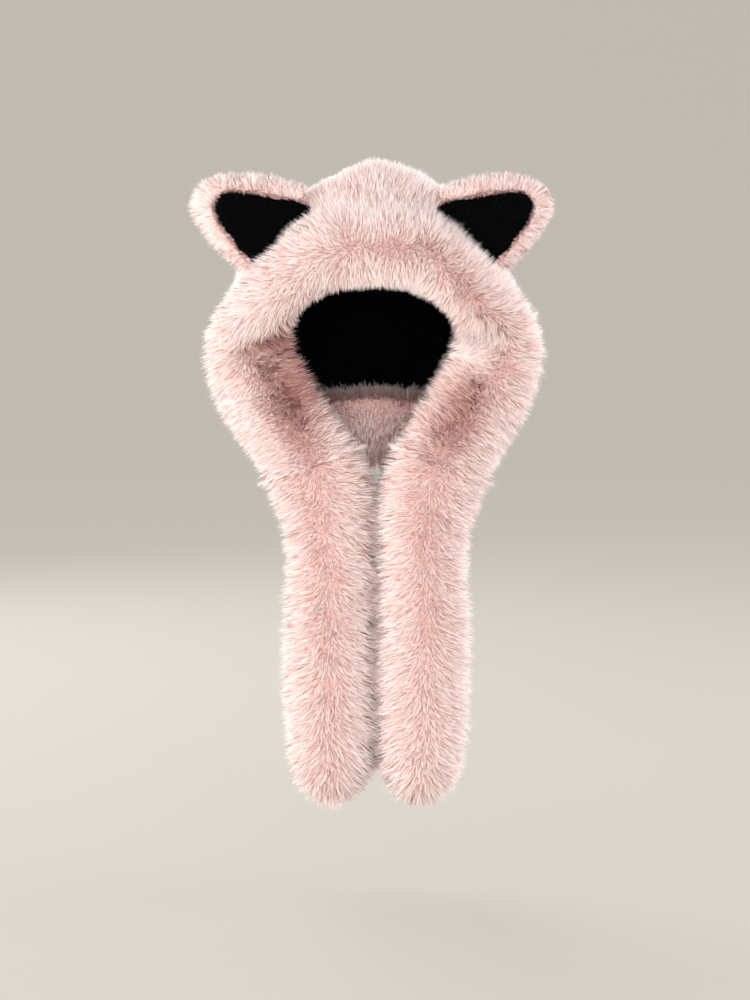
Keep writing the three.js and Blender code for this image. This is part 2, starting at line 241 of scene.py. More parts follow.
@dataclass(frozen=True)
class PileFinish:
    """The colours of a long pile from root to tip, and of its tufts from dark to light."""

    name: str
    pile: tuple[RampStop, ...]
    tufts: tuple[RampStop, ...]
    roughness: float = 0.62
    specular: float = 0.28
    sheen: float = 0.25
    sheen_roughness: float = 0.5

    def material(self) -> bpy.types.Material:
        """Makes the material, which reads only the pile's own map: root to tip along it, tone across it."""
        sheet = NodeSheet(self.name)
        lookup = sheet.add("ShaderNodeUVMap", uv_map=FUR_MAP)
        split = sheet.add("ShaderNodeSeparateXYZ")
        sheet.join(lookup.outputs["UV"], split.inputs["Vector"])
        along = sheet.ramp(split.outputs["X"], self.pile)
        tone = sheet.ramp(split.outputs["Y"], self.tufts)
        sheet.join(sheet.multiplied(along, tone), sheet.shader.inputs["Base Color"])
        sheet.shader.inputs["Roughness"].default_value = self.roughness
        sheet.shader.inputs["Specular IOR Level"].default_value = self.specular
        sheet.shader.inputs["Sheen Weight"].default_value = self.sheen
        sheet.shader.inputs["Sheen Roughness"].default_value = self.sheen_roughness
        return sheet.material


@dataclass(frozen=True)
class BackingFinish:
    """The dense underfur that shows between the tufts."""

    name: str
    colours: tuple[RampStop, ...]
    grain: float = 320.0
    height: float = 0.003
    relief: float = 0.8
    roughness: float = 0.9
    specular: float = 0.15

    def material(self) -> bpy.types.Material:
        """Makes the material from noise at the size of a tuft's root."""
        sheet = NodeSheet(self.name)
        place = sheet.add("ShaderNodeTexCoord")
        fine = sheet.add("ShaderNodeTexNoise", scale=self.grain, detail=3.0)
        sheet.join(place.outputs["Object"], fine.inputs["Vector"])
        colour = sheet.ramp(fine.outputs["Fac"], self.colours)
        sheet.join(colour, sheet.shader.inputs["Base Color"])
        sheet.shader.inputs["Roughness"].default_value = self.roughness
        sheet.shader.inputs["Specular IOR Level"].default_value = self.specular
        sheet.bump(fine.outputs["Fac"], self.relief, self.height)
        return sheet.material


@dataclass(frozen=True)
class PlushFinish:
    """Short black plush that takes the light at a glancing angle."""

    name: str
    colours: tuple[RampStop, ...]
    grain: float = 900.0
    crush: float = 45.0
    nap: float = 0.0012
    relief: float = 0.9
    roughness: float = 0.95
    specular: float = 0.03
    sheen: float = 0.02
    sheen_roughness: float = 0.35
    sheen_tint: str = "AEBDC4"

    def material(self) -> bpy.types.Material:
        """Makes the material: crushed patches in the colour, nap in the bump."""
        sheet = NodeSheet(self.name)
        place = sheet.add("ShaderNodeTexCoord")
        nap = sheet.add("ShaderNodeTexNoise", scale=self.grain, detail=2.0)
        patch = sheet.add("ShaderNodeTexNoise", scale=self.crush, detail=4.0)
        sheet.join(place.outputs["Object"], nap.inputs["Vector"])
        sheet.join(place.outputs["Object"], patch.inputs["Vector"])
        colour = sheet.ramp(patch.outputs["Fac"], self.colours)
        sheet.join(colour, sheet.shader.inputs["Base Color"])
        sheet.shader.inputs["Roughness"].default_value = self.roughness
        sheet.shader.inputs["Specular IOR Level"].default_value = self.specular
        sheet.shader.inputs["Sheen Weight"].default_value = self.sheen
        sheet.shader.inputs["Sheen Roughness"].default_value = self.sheen_roughness
        sheet.shader.inputs["Sheen Tint"].default_value = srgb(self.sheen_tint)
        sheet.bump(nap.outputs["Fac"], self.relief, self.nap)
        return sheet.material


@dataclass(frozen=True)
class PaperFinish:
    """Pale matt paper that glows a little, so that it stays even behind the lamps."""

    name: str
    colour: str
    glow: str
    roughness: float = 0.9

    def material(self) -> bpy.types.Material:
        """Makes the material."""
        sheet = NodeSheet(self.name)
        sheet.shader.inputs["Base Color"].default_value = srgb(self.colour)
        sheet.shader.inputs["Emission Color"].default_value = srgb(self.glow)
        sheet.shader.inputs["Emission Strength"].default_value = 1.0
        sheet.shader.inputs["Roughness"].default_value = self.roughness
        return sheet.material


PINK_PILE = PileFinish(
    name="pink_pile",
    pile=(
        RampStop(0.0, "DDBAB4"),
        RampStop(0.35, "F0D7D2"),
        RampStop(0.7, "F6E6E2"),
        RampStop(1.0, "FBF7F4"),
    ),
    # The dark end of the tuft ramp is reached mostly where painted shade lowers the tone.
    tufts=(RampStop(0.0, "BA8A84"), RampStop(0.5, "F2E4E1"), RampStop(0.85, "FFFFFF")),
)
PINK_UNDERFUR = BackingFinish(
    name="pink_underfur",
    colours=(RampStop(0.3, "D3A59F"), RampStop(0.7, "EAC7C2")),
)
BLACK_PLUSH = PlushFinish(
    name="black_plush",
    colours=(RampStop(0.3, "010101"), RampStop(0.7, "040506")),
)
BLACK_NAP = PileFinish(
    name="black_nap",
    pile=(RampStop(0.0, "010102"), RampStop(0.6, "040506"), RampStop(1.0, "0B0E10")),
    tufts=(RampStop(0.0, "8A8A8A"), RampStop(1.0, "FFFFFF")),
    roughness=0.8,
    specular=0.04,
    sheen=0.01,
)
PALE_PAPER = PaperFinish(name="pale_paper", colour="5A554F", glow="B2ACA3")


@dataclass(frozen=True)
class Coat:
    """How the pile of one piece grows, in metres and shares.

    lift is the share of a strand's first direction that stands off the backing, tip_lift is that of its
    tip, and fall is how far the tip sags. tuft_step is the space between tufts, and pull is how close the
    tips of a tuft come together. unruly turns each strand by itself. drift turns the pile in soft whirls,
    each a whirl across, and mottle changes its tone in soft patches, each a patch across. guard is the
    share of long pale hairs, and wool is how long the woolly hairs between them are, as a share of the
    long ones. tip_comb is how strongly the comb still leads at the tips, and pull_power how late along the
    strands the pull sets in. The spreads say how much lift, length, width and tone differ, skew how much the
    strands' flat sides do, and spin is how far a strand turns about its own line, in radians.
    """

    strands: int
    length: float
    width: float = 0.0008
    lift: float = 0.84
    tip_lift: float = 0.64
    fall: float = 0.08
    tuft_step: float = 0.003
    pull: float = 0.24
    unruly: float = 0.12
    drift: float = 0.22
    whirl: float = 0.04
    mottle: float = 0.08
    patch: float = 0.055
    guard: float = 0.4
    wool: float = 0.78
    lift_spread: float = 0.08
    tuft_spread: tuple[float, float] = (0.88, 1.1)
    length_spread: tuple[float, float] = (0.85, 1.05)
    width_spread: tuple[float, float] = (0.75, 1.2)
    spin: float = 1.25
    skew: float = 0.02
    tip_comb: float = 0.8
    pull_power: float = 1.3
    tuft_tone_spread: float = 0.06
    strand_tone_spread: float = 0.1


@dataclass(frozen=True)
class StrandPattern:
    """The faces of one flat strand: four corners from its root to its bend, and three from there to its tip.

    stations are the shares of its length where it has corners, and widths those of its width there. along
    and across say for each corner of the faces where it lies on the pile's map, and tones is the range that
    the map has for them. upright and flank mix the normal below with the strand's own, for its shading.
    """

    stations: tuple[float, ...] = (0.0, 0.55, 1.0)
    widths: tuple[float, ...] = (1.0, 0.8)
    corners: tuple[int, ...] = (0, 1, 3, 2, 2, 3, 4)
    starts: tuple[int, ...] = (0, 4)
    along: tuple[float, ...] = (0.0, 0.0, 0.5, 0.5, 0.5, 0.5, 1.0)
    across: tuple[float, ...] = (0.0, 1.0, 1.0, 0.0, 0.0, 1.0, 0.5)
    map_edge: float = 0.02
    map_width: float = 0.003
    tones: tuple[float, float] = (0.02, 0.97)
    upright: float = 0.85
    flank: float = 0.35


@dataclass(frozen=True)
class Roots:
    """Where the strands of a pile grow, and how they are shared out among tufts.

    tuft is each root's tuft number, middles are the places of the tufts, and guard tells the long hairs
    from the woolly ones.
    """

    points: np.ndarray
    normals: np.ndarray
    tuft: np.ndarray
    middles: np.ndarray
    guard: np.ndarray


STRAND = StrandPattern()
DOWN = np.array([0.0, 0.0, -1.0])
GUARD_TONE = 0.84
WOOL_TONE = 0.5
TUFT_SAMPLE = 400
FEWEST_TUFTS = 8
FEWEST_IN_TUFT = 4


class Surface:
    """Points and normals on a mesh, for pile to grow from."""

    def __init__(
        self,
        mesh: bpy.types.Mesh,
        hidden: np.ndarray | None = None,
        normals: np.ndarray | None = None,
    ) -> None:
        """Reads a mesh's triangles once.

        Args:
            mesh: The mesh to grow on.
            hidden: For each vertex, 1 where a neighbour covers it and 0 where it shows.
            normals: The normals that the pile takes, where they aren't the mesh's own.
        """
        self.hidden = np.zeros(len(mesh.vertices)) if hidden is None else hidden
        mesh.calc_loop_triangles()
        self.points, own = places(mesh)
        self.normals = own if normals is None else normals
        self.corners = np.empty(len(mesh.loop_triangles) * 3, int)
        mesh.loop_triangles.foreach_get("vertices", self.corners)
        self.corners = self.corners.reshape(-1, 3)

    def scatter(
        self,
        count: int,
        rng: np.random.Generator,
        keep: Measure | None,
    ) -> tuple[np.ndarray, np.ndarray]:
        """Spreads roots evenly over the surface.

        Args:
            count: How many roots to give.
            rng: The piece's own random numbers.
            keep: How dense the pile is, from 0 where there is none.

        Returns:
            The roots and the normals at them.
        """
        a, b, c = (self.points[self.corners[:, k]] for k in range(3))
        areas = np.linalg.norm(np.cross(b - a, c - a), axis=1)
        normals = unit(self.normals[self.corners].sum(axis=1))
        areas = areas * (1 - self.hidden[self.corners].max(axis=1))
        if keep is not None:
            areas = areas * keep((a + b + c) / 3, normals)
        chosen = rng.choice(len(areas), size=count, p=areas / areas.sum())
        shares = rng.dirichlet((1.0, 1.0, 1.0), size=count)[:, :, None]
        corners = self.corners[chosen]
        roots = (self.points[corners] * shares).sum(axis=1)
        return roots, unit((self.normals[corners] * shares).sum(axis=1))


def places(mesh: bpy.types.Mesh) -> tuple[np.ndarray, np.ndarray]:
    """Reads the vertices of a mesh.

    Args:
        mesh: The mesh.

    Returns:
        Their places and the normals at them.
    """
    points = np.empty((len(mesh.vertices), 3))
    normals = np.empty((len(mesh.vertices), 3))
    mesh.vertices.foreach_get("co", points.ravel())
    mesh.vertices.foreach_get("normal", normals.ravel())
    return points, normals


def joined(meshes: list[bpy.types.Mesh]) -> bpy.types.Mesh:
    """Puts copies of several meshes into one.

    Args:
        meshes: The meshes, which stay as they are.

    Returns:
        The new mesh, without materials.
    """
    points, faces = [], []
    for mesh in meshes:
        first = len(points)
        points += [tuple(v.co) for v in mesh.vertices]
        faces += [[first + k for k in p.vertices] for p in mesh.polygons]
    whole = bpy.data.meshes.new("whole")
    whole.from_pydata(points, [], faces)
    return whole


def tree_of(mesh: bpy.types.Mesh) -> BVHTree:
    """Makes a search tree of a mesh's faces."""
    return BVHTree.FromPolygons([v.co for v in mesh.vertices], [p.vertices for p in mesh.polygons])


def softened(mesh: bpy.types.Mesh, voxel: float, rounds: int, swell: float = 0.0) -> bpy.types.Mesh:
    """Covers a mesh with an even skin and smooths it.

    Args:
        mesh: The mesh, which stays as it is.
        voxel: The size of the skin's faces, or 0 to split the mesh's own faces.
        rounds: How often the skin is smoothed.
        swell: How far it grows before the skin is drawn, and shrinks after. It closes grooves.

    Returns:
        The smoothed skin.
    """
    draft = bpy.data.objects.new("draft", mesh.copy())
    bpy.context.scene.collection.objects.link(draft)
    draft.modifiers.new("weld", "WELD").merge_threshold = 1e-5
    if swell:
        draft.modifiers.new("grow", "DISPLACE").strength = swell
        draft.modifiers["grow"].mid_level = 0.0
    if voxel:
        skin = draft.modifiers.new("skin", "REMESH")
        skin.mode = "VOXEL"
        skin.voxel_size = voxel
    else:
        finer = draft.modifiers.new("finer", "SUBSURF")
        finer.subdivision_type = "SIMPLE"
        finer.levels = 1
    smooth = draft.modifiers.new("smooth", "SMOOTH")
    smooth.factor = 0.5
    smooth.iterations = rounds
    if swell:
        draft.modifiers.new("shrink", "DISPLACE").strength = -swell
        draft.modifiers["shrink"].mid_level = 0.0
    graph = bpy.context.evaluated_depsgraph_get()
    skinned = bpy.data.meshes.new_from_object(draft.evaluated_get(graph))
    bpy.data.objects.remove(draft)
    return skinned


@dataclass
class CoatForm:
    """The smooth form of the whole coat, which the fur pieces share across their seams.

    hood names the CAD nodes whose seams are closed together, and ends names those whose seam with the face
    band is closed, each by itself. closing is how wide a groove is filled. fine is the size of the faces
    that close the grooves, even is that of the one skin over all, and reach is how far a place may move.
    A place moves only as far as its normal agrees with the skin's.
    """

    hood: tuple[str, ...]
    ends: tuple[str, ...]
    closing: float = 0.014
    fine: float = 0.007
    even: float = 0.008
    reach: float = 0.022
    closed_rounds: int = 6
    even_rounds: int = 10
    agreement: Table = Table(at=(-0.1, 0.3), value=(0.0, 1.0))

    def __post_init__(self) -> None:
        """Draws the skin over the fur pieces."""
        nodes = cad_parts
        closed = []
        for group in (self.hood, *(("face_band", end) for end in self.ends)):
            whole = joined([nodes[node].data for node in group])
            closed.append(softened(whole, self.fine, self.closed_rounds, self.closing))
        skin = softened(joined(closed), self.even, self.even_rounds)
        points, normals = places(skin)
        faces = [tuple(p.vertices) for p in skin.polygons]
        self.normals = unit(np.array([normals[list(face)].mean(axis=0) for face in faces]))
        self.tree = BVHTree.FromPolygons(points.tolist(), faces)
        log.info("coat form: %d faces", len(faces))

    def drawn(self, points: np.ndarray, normals: np.ndarray) -> tuple[np.ndarray, np.ndarray, np.ndarray]:
        """Moves places to the skin where they face the same way.

        Args:
            points: The places.
            normals: The normals at them.

        Returns:
            The places and normals after it, and how fully each place was moved.
        """
        spots = np.array(points)
        skin = np.array(normals)
        found = np.zeros(len(points))
        for i, point in enumerate(points):
            spot, _, face, _ = self.tree.find_nearest(Vector(point), self.reach)
            if spot is not None:
                spots[i] = spot
                skin[i] = self.normals[face]
                found[i] = 1.0
        agree = self.agreement.read((skin * normals).sum(axis=1)) * found
        share = agree[:, None]
        turned = np.clip(share * 3, 0, 1)
        return points + (spots - points) * share, unit(normals + (skin - normals) * turned), agree


@dataclass
class Backing:
    """A fur piece's backing: its CAD solid smoothed, and sunk below the pile.

    voxel is the size of the smoothed mesh's faces, and rounds is how often it is smoothed. sink is how far
    it lies below the solid's surface, less by the share eased where a scarf end lies within beside of it.
    form is the skin that it shares with its neighbours, and reshape moves its places at the end. No pile
    grows where another piece lies within cover, or where less than bared of a place follows the form.
    """

    node: str
    voxel: float
    sink: float
    form: CoatForm | None = None
    reshape: Flow | None = None
    rounds: int = 2
    cover: float = 0.02
    beside: float = 0.026
    eased: float = 0.75
    bared: float = 0.6

    def build(self, finish: bpy.types.Material) -> Surface:
        """Makes the backing's mesh in place of the CAD node.

        Args:
            finish: The underfur's material.

        Returns:
            The surface that the pile grows from.
        """
        mesh = softened(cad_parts[self.node].data, self.voxel, self.rounds)
        mesh.name = f"{self.node}_underfur"
        hidden, normals = self.sink_below(mesh)
        mesh.materials.clear()
        mesh.materials.append(finish)
        mesh.shade_smooth()
        piece = bpy.data.objects.new(mesh.name, mesh)
        bpy.context.scene.collection.objects.link(piece)
        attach(piece, "root")
        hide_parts(self.node)
        log.info("%s: %d faces", piece.name, len(mesh.polygons))
        return Surface(mesh, hidden, normals)

    def sink_below(self, mesh: bpy.types.Mesh) -> tuple[np.ndarray, np.ndarray]:
        """Moves the mesh in, less where it faces a neighbour.

        Args:
            mesh: The smoothed mesh.

        Returns:
            For each vertex, 1 where a neighbour covers it and 0 where it shows, and the pile's normals.
        """
        points, normals = places(mesh)
        pieces = [n for n in FUR_NODES if n != self.node and not n.startswith("ear")]
        others = [n for n in (*FUR_NODES, *PLUSH_NODES) if n != self.node and n not in pieces]
        ends = [n for n in pieces if n.startswith("scarf_end")]
        covered = self.facing(points, normals, others, self.cover)
        close = np.maximum(covered, self.facing(points, normals, ends, self.beside))
        if self.form is None:
            sewn = [n for n in pieces if n not in ends]
            shown = 1 - self.facing(points, normals, sewn, self.cover)
        else:
            points, normals, shown = self.form.drawn(points, normals)
        points = points - normals * (self.sink * (1 - self.eased * close))[:, None]
        if self.reshape is not None:
            points = self.reshape(points, normals)
        mesh.vertices.foreach_set("co", points.ravel())
        mesh.update()
        return np.maximum(covered, shown < self.bared), normals

    def facing(
        self,
        points: np.ndarray,
        normals: np.ndarray,
        nodes: list[str],
        reach: float,
    ) -> np.ndarray:
        """Finds which places look straight at a neighbour.

        Args:
            points: The places.
            normals: The normals at them.
            nodes: The neighbours' CAD nodes.
            reach: How far away a neighbour may be.

        Returns:
            1 where a neighbour is within reach, and 0 elsewhere.
        """
        tree = tree_of(joined([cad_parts[node].data for node in nodes]))
        found = np.zeros(len(points))
        for i, (point, normal) in enumerate(zip(points, normals)):
            found[i] = tree.ray_cast(Vector(point), Vector(normal), reach)[0] is not None
        return found


@dataclass
class Pelt:
    """The pile of one piece: tapered strands in tufts, joined in one mesh.

    slot is not used, and seed starts the piece's own random numbers.
    """

    name: str
    coat: Coat
    finish: bpy.types.Material
    slot: str
    seed: int

    def __post_init__(self) -> None:
        """Starts the random numbers."""
        self.rng = np.random.default_rng(self.seed)

    def grow(
        self,
        surface: Surface,
        flow: Flow,
        keep: Measure | None = None,
        tone: Measure | None = None,
        trim: Measure | None = None,
    ) -> bpy.types.Object:
        """Grows the pile on a surface.

        Args:
            surface: What it grows from.
            flow: The direction in which it is combed.
            keep: How dense it is, from 0 where there is none.
            tone: How much lighter or darker it is.
            trim: The share of its length that it keeps.

        Returns:
            The new piece.
        """
        points, normals = surface.scatter(self.coat.strands, self.rng, keep)
        tuft, middles = self.tufts(points)
        guard = self.rng.random(len(points)) < self.coat.guard
        roots = Roots(points, normals, tuft, middles, guard)
        spine = self.bent(roots, flow, trim)
        half, facing = self.spun(roots, spine)
        mesh = self.mesh_of(spine, half, facing, self.toned(roots, tone))
        piece = bpy.data.objects.new(self.name, mesh)
        bpy.context.scene.collection.objects.link(piece)
        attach(piece, "root")
        log.info("%s: %d strands, %d faces", self.name, len(points), len(mesh.polygons))
        return piece

    def bent(self, roots: Roots, flow: Flow, trim: Measure | None) -> list[np.ndarray]:
        """Bends the strands from their first direction over to their last.

        Args:
            roots: Where they grow.
            flow: The direction in which they are combed.
            trim: The share of its length that the pile keeps.

        Returns:
            The strands' middle lines, one array for each station.
        """
        coat, rng, normals = self.coat, self.rng, roots.normals
        count = len(roots.points)
        tufts = len(roots.middles)
        turned = rng.normal(0, coat.unruly, (tufts, 3))[roots.tuft]
        turned = turned + rng.normal(0, coat.unruly, (count, 3))
        turned += waves(roots.points, coat.whirl) * coat.drift
        combed = level(flow(roots.points, normals) + turned, normals)
        lift = (coat.lift + rng.normal(0, coat.lift_spread, count))[:, None]
        swell = rng.uniform(*coat.tuft_spread, tufts)[roots.tuft] * rng.uniform(*coat.length_spread, count)
        length = (coat.length * swell * np.where(roots.guard, 1.0, coat.wool))[:, None]
        if trim is not None:
            length = length * trim(roots.points, normals)[:, None]
        start = unit(normals * lift + combed * (1 - lift))
        end = unit(normals * coat.tip_lift + combed * coat.tip_comb + DOWN * coat.fall)
        pull = (roots.points - roots.middles[roots.tuft]) * coat.pull
        spine = []
        for t in STRAND.stations:
            way = start * (t - t * t / 2) + end * t * t / 2
            spine.append(roots.points + length * way - pull * t**coat.pull_power)
        return spine

    def spun(self, roots: Roots, spine: list[np.ndarray]) -> tuple[np.ndarray, np.ndarray]:
        """Turns each flat strand about its own line.

        Args:
            roots: Where the strands grow.
            spine: Their middle lines.

        Returns:
            Their half widths as vectors, and the normals that they are shaded with.
        """
        coat, rng = self.coat, self.rng
        count = len(roots.points)
        tangent = unit(spine[-1] - spine[0])
        side = unit(np.cross(tangent, roots.normals) + rng.normal(0, coat.skew, (count, 3)))
        spin = rng.uniform(-coat.spin, coat.spin, count)[:, None]
        side = side * np.cos(spin) + np.cross(tangent, side) * np.sin(spin)
        facing = unit(roots.normals * STRAND.upright + np.cross(side, tangent) * STRAND.flank)
        half = coat.width / 2 * rng.uniform(*coat.width_spread, count)[:, None]
        return side * half, facing

    def toned(self, roots: Roots, tone: Measure | None) -> np.ndarray:
        """Sets how light each strand is.

        Args:
            roots: Where the strands grow.
            tone: How much lighter or darker the pile is.

        Returns:
            The tones, from 0 to 1.
        """
        coat, rng = self.coat, self.rng
        tones = np.where(roots.guard, GUARD_TONE, WOOL_TONE)
        tones = tones + rng.normal(0, coat.tuft_tone_spread, len(roots.middles))[roots.tuft]
        tones = tones + rng.normal(0, coat.strand_tone_spread, len(roots.points))
        tones += waves(roots.points, coat.patch)[:, 0] * coat.mottle
        if tone is not None:
            tones = tones + tone(roots.points, roots.normals)
        return np.clip(tones, *STRAND.tones)

    def tufts(self, roots: np.ndarray) -> tuple[np.ndarray, np.ndarray]:
        """Shares the roots out among tufts.

        Args:
            roots: Where the strands grow.

        Returns:
            Each root's tuft number, and the middle of each tuft.
        """
        spread = min(len(roots), TUFT_SAMPLE)
        tree = KDTree(spread)
        for i in range(spread):
            tree.insert(roots[i], i)
        tree.balance()
        nearest = np.median([tree.find_n(roots[i], 2)[1][2] for i in range(spread)])
        area = (2 * nearest) ** 2 * spread
        most = len(roots) / FEWEST_IN_TUFT
        number = int(np.clip(area / self.coat.tuft_step**2, FEWEST_TUFTS, most))
        middles = roots[self.rng.choice(len(roots), number, replace=False)]
        tree = KDTree(number)
        for i, middle in enumerate(middles):
            tree.insert(middle, i)
        tree.balance()
        return np.array([tree.find(root)[1] for root in roots]), middles

    def mesh_of(
        self,
        spine: list[np.ndarray],
        half: np.ndarray,
        facing: np.ndarray,
        tones: np.ndarray,
    ) -> bpy.types.Mesh:
        """Joins the strands into one mesh with the pile's map.

        Args:
            spine: The strands' middle lines, one array for each station.
            half: The strands' half widths as vectors.
            facing: The normals that they are shaded with.
            tones: Each strand's tone, from 0 to 1.

        Returns:
            The mesh.
        """
        columns = []
        for middle, width in zip(spine, STRAND.widths):
            columns += [middle - half * width, middle + half * width]
        columns.append(spine[-1])
        points = np.stack(columns, axis=1)
        count, per = points.shape[:2]
        corners, starts = np.array(STRAND.corners), np.array(STRAND.starts)
        strand = np.arange(count)[:, None]
        mesh = bpy.data.meshes.new(self.name)
        mesh.vertices.add(count * per)
        mesh.vertices.foreach_set("co", points.astype(np.float32).ravel())
        mesh.loops.add(count * len(corners))
        mesh.loops.foreach_set("vertex_index", (strand * per + corners).astype(np.int32).ravel())
        mesh.polygons.add(count * len(starts))
        first = strand * len(corners) + starts
        mesh.polygons.foreach_set("loop_start", first.astype(np.int32).ravel())
        u = STRAND.map_edge + (1 - 2 * STRAND.map_edge) * np.array(STRAND.along)
        v = tones[:, None] + np.array(STRAND.across) * STRAND.map_width
        chart = np.stack([np.broadcast_to(u, v.shape), v], axis=2)
        mesh.uv_layers.new(name=FUR_MAP).data.foreach_set("uv", chart.astype(np.float32).ravel())
        mesh.polygons.foreach_set("use_smooth", np.ones(count * len(starts), bool))
        mesh.update(calc_edges=True)
        mesh.validate()
        mesh.normals_split_custom_set_from_vertices(np.repeat(facing, per, axis=0).astype(np.float32))
        mesh.materials.append(self.finish)
        return mesh


@dataclass(frozen=True)
class Trail:
    """A line on the hood as it is seen from the front: places across and up, in metres.

    The pile parts along it with a small wander to both sides, which turns over about one step.
    """

    line: tuple[tuple[float, float], ...]
    step: float = 0.09
    wander: float = 0.008

    def nearest(self, points: np.ndarray) -> tuple[np.ndarray, np.ndarray]:
        """Finds the nearest place on the line.

        Args:
            points: Places on the hood.

        Returns:
            The way from the line to each point, across and up, and its length.
        """
        flat = points[:, (0, 2)]
        best = np.full(len(flat), np.inf)
        way = np.zeros_like(flat)
        for start, end in zip(self.line, self.line[1:]):
            a, b = np.array(start), np.array(end)
            share = np.clip((flat - a) @ (b - a) / ((b - a) @ (b - a)), 0, 1)[:, None]
            off = flat - a - share * (b - a)
            distance = np.linalg.norm(off, axis=1)
            closer = distance < best
            best[closer] = distance[closer]
            way[closer] = off[closer]
        return way, best

    def away(self, points: np.ndarray, soft: float) -> np.ndarray:
        """Points away from the line, weakly close to it and fully where it is soft or more away.

        Args:
            points: Places on the hood.
            soft: How far from the line the pile is combed fully.

        Returns:
            Directions across and up, as three columns with nothing in depth.
        """
        way, distance = self.nearest(points + waves(points, self.step) * self.wander)
        out = way / np.maximum(distance, soft)[:, None]
        return np.stack([out[:, 0], np.zeros(len(out)), out[:, 1]], axis=1)


PARTINGS = {
    Side.RIGHT: Trail(
        (
            (-0.017, -0.088),
            (0.039, -0.084),
            (0.085, -0.088),
            (0.104, -0.122),
            (0.125, -0.149),
            (0.163, -0.192),
            (0.174, -0.238),
            (0.151, -0.273),
            (0.126, -0.294),
            (0.094, -0.334),
            (0.083, -0.405),
            (0.076, -0.479),
            (0.08, -0.572),
            (0.069, -0.667),
            (0.065, -0.723),
            (0.065, -0.802),
        ),
    ),
    Side.LEFT: Trail(
        (
            (-0.161, -0.221),
            (-0.131, -0.245),
            (-0.106, -0.29),
            (-0.085, -0.336),
            (-0.076, -0.396),
            (-0.075, -0.455),
            (-0.059, -0.548),
            (-0.058, -0.668),
            (-0.065, -0.76),
            (-0.066, -0.802),
        ),
    ),
}
WHORL = np.array([-0.026, 0.0, -0.088])
# Both scarf ends, and the strip above them, hang this far to the right.
ASIDE = 0.004
FOLD = ((-0.255, -0.221), (-0.178, -0.212), (-0.097, -0.167), (-0.046, -0.141))


@dataclass(frozen=True)
class ShadedHollow:
    """A place seen from the front where painted shade deepens the pile's pink, and how deep."""

    across: float
    up: float
    reach: float
    depth: float


# Painted shade in the hollows of both cheeks, darkest on the left under the visor, and a faint spot on the
# right of the visor.
SHADED_HOLLOWS = (
    ShadedHollow(-0.148, -0.213, 0.022, 0.4),
    ShadedHollow(-0.119, -0.218, 0.026, 0.5),
    ShadedHollow(-0.097, -0.214, 0.024, 0.42),
    ShadedHollow(-0.09, -0.25, 0.024, 0.35),
    ShadedHollow(-0.114, -0.26, 0.032, 0.42),
    ShadedHollow(-0.106, -0.297, 0.03, 0.5),
    ShadedHollow(-0.09, -0.339, 0.03, 0.25),
    ShadedHollow(0.126, -0.281, 0.034, 0.42),
    ShadedHollow(0.096, -0.329, 0.034, 0.42),
    ShadedHollow(0.119, -0.15, 0.022, 0.1),
)
FACE_EDGE = Trail(
    (
        (0.0, -0.148),
        (0.039, -0.15),
        (0.074, -0.165),
        (0.097, -0.185),
        (0.104, -0.203),
        (0.099, -0.224),
        (0.086, -0.251),
        (0.069, -0.281),
        (0.046, -0.314),
        (0.02, -0.35),
        (0.003, -0.39),
    )
)


def mirrored(points: np.ndarray) -> np.ndarray:
    """Folds the left side over to the right."""
    return np.abs(points) * (1, 0, 0) + points * (0, 1, 1)


def above_fold(points: np.ndarray) -> np.ndarray:
    """Says how far each point lies above the fold over the left cheek."""
    folds = np.array(FOLD)
    return points[:, 2] - np.interp(points[:, 0], folds[:, 0], folds[:, 1])


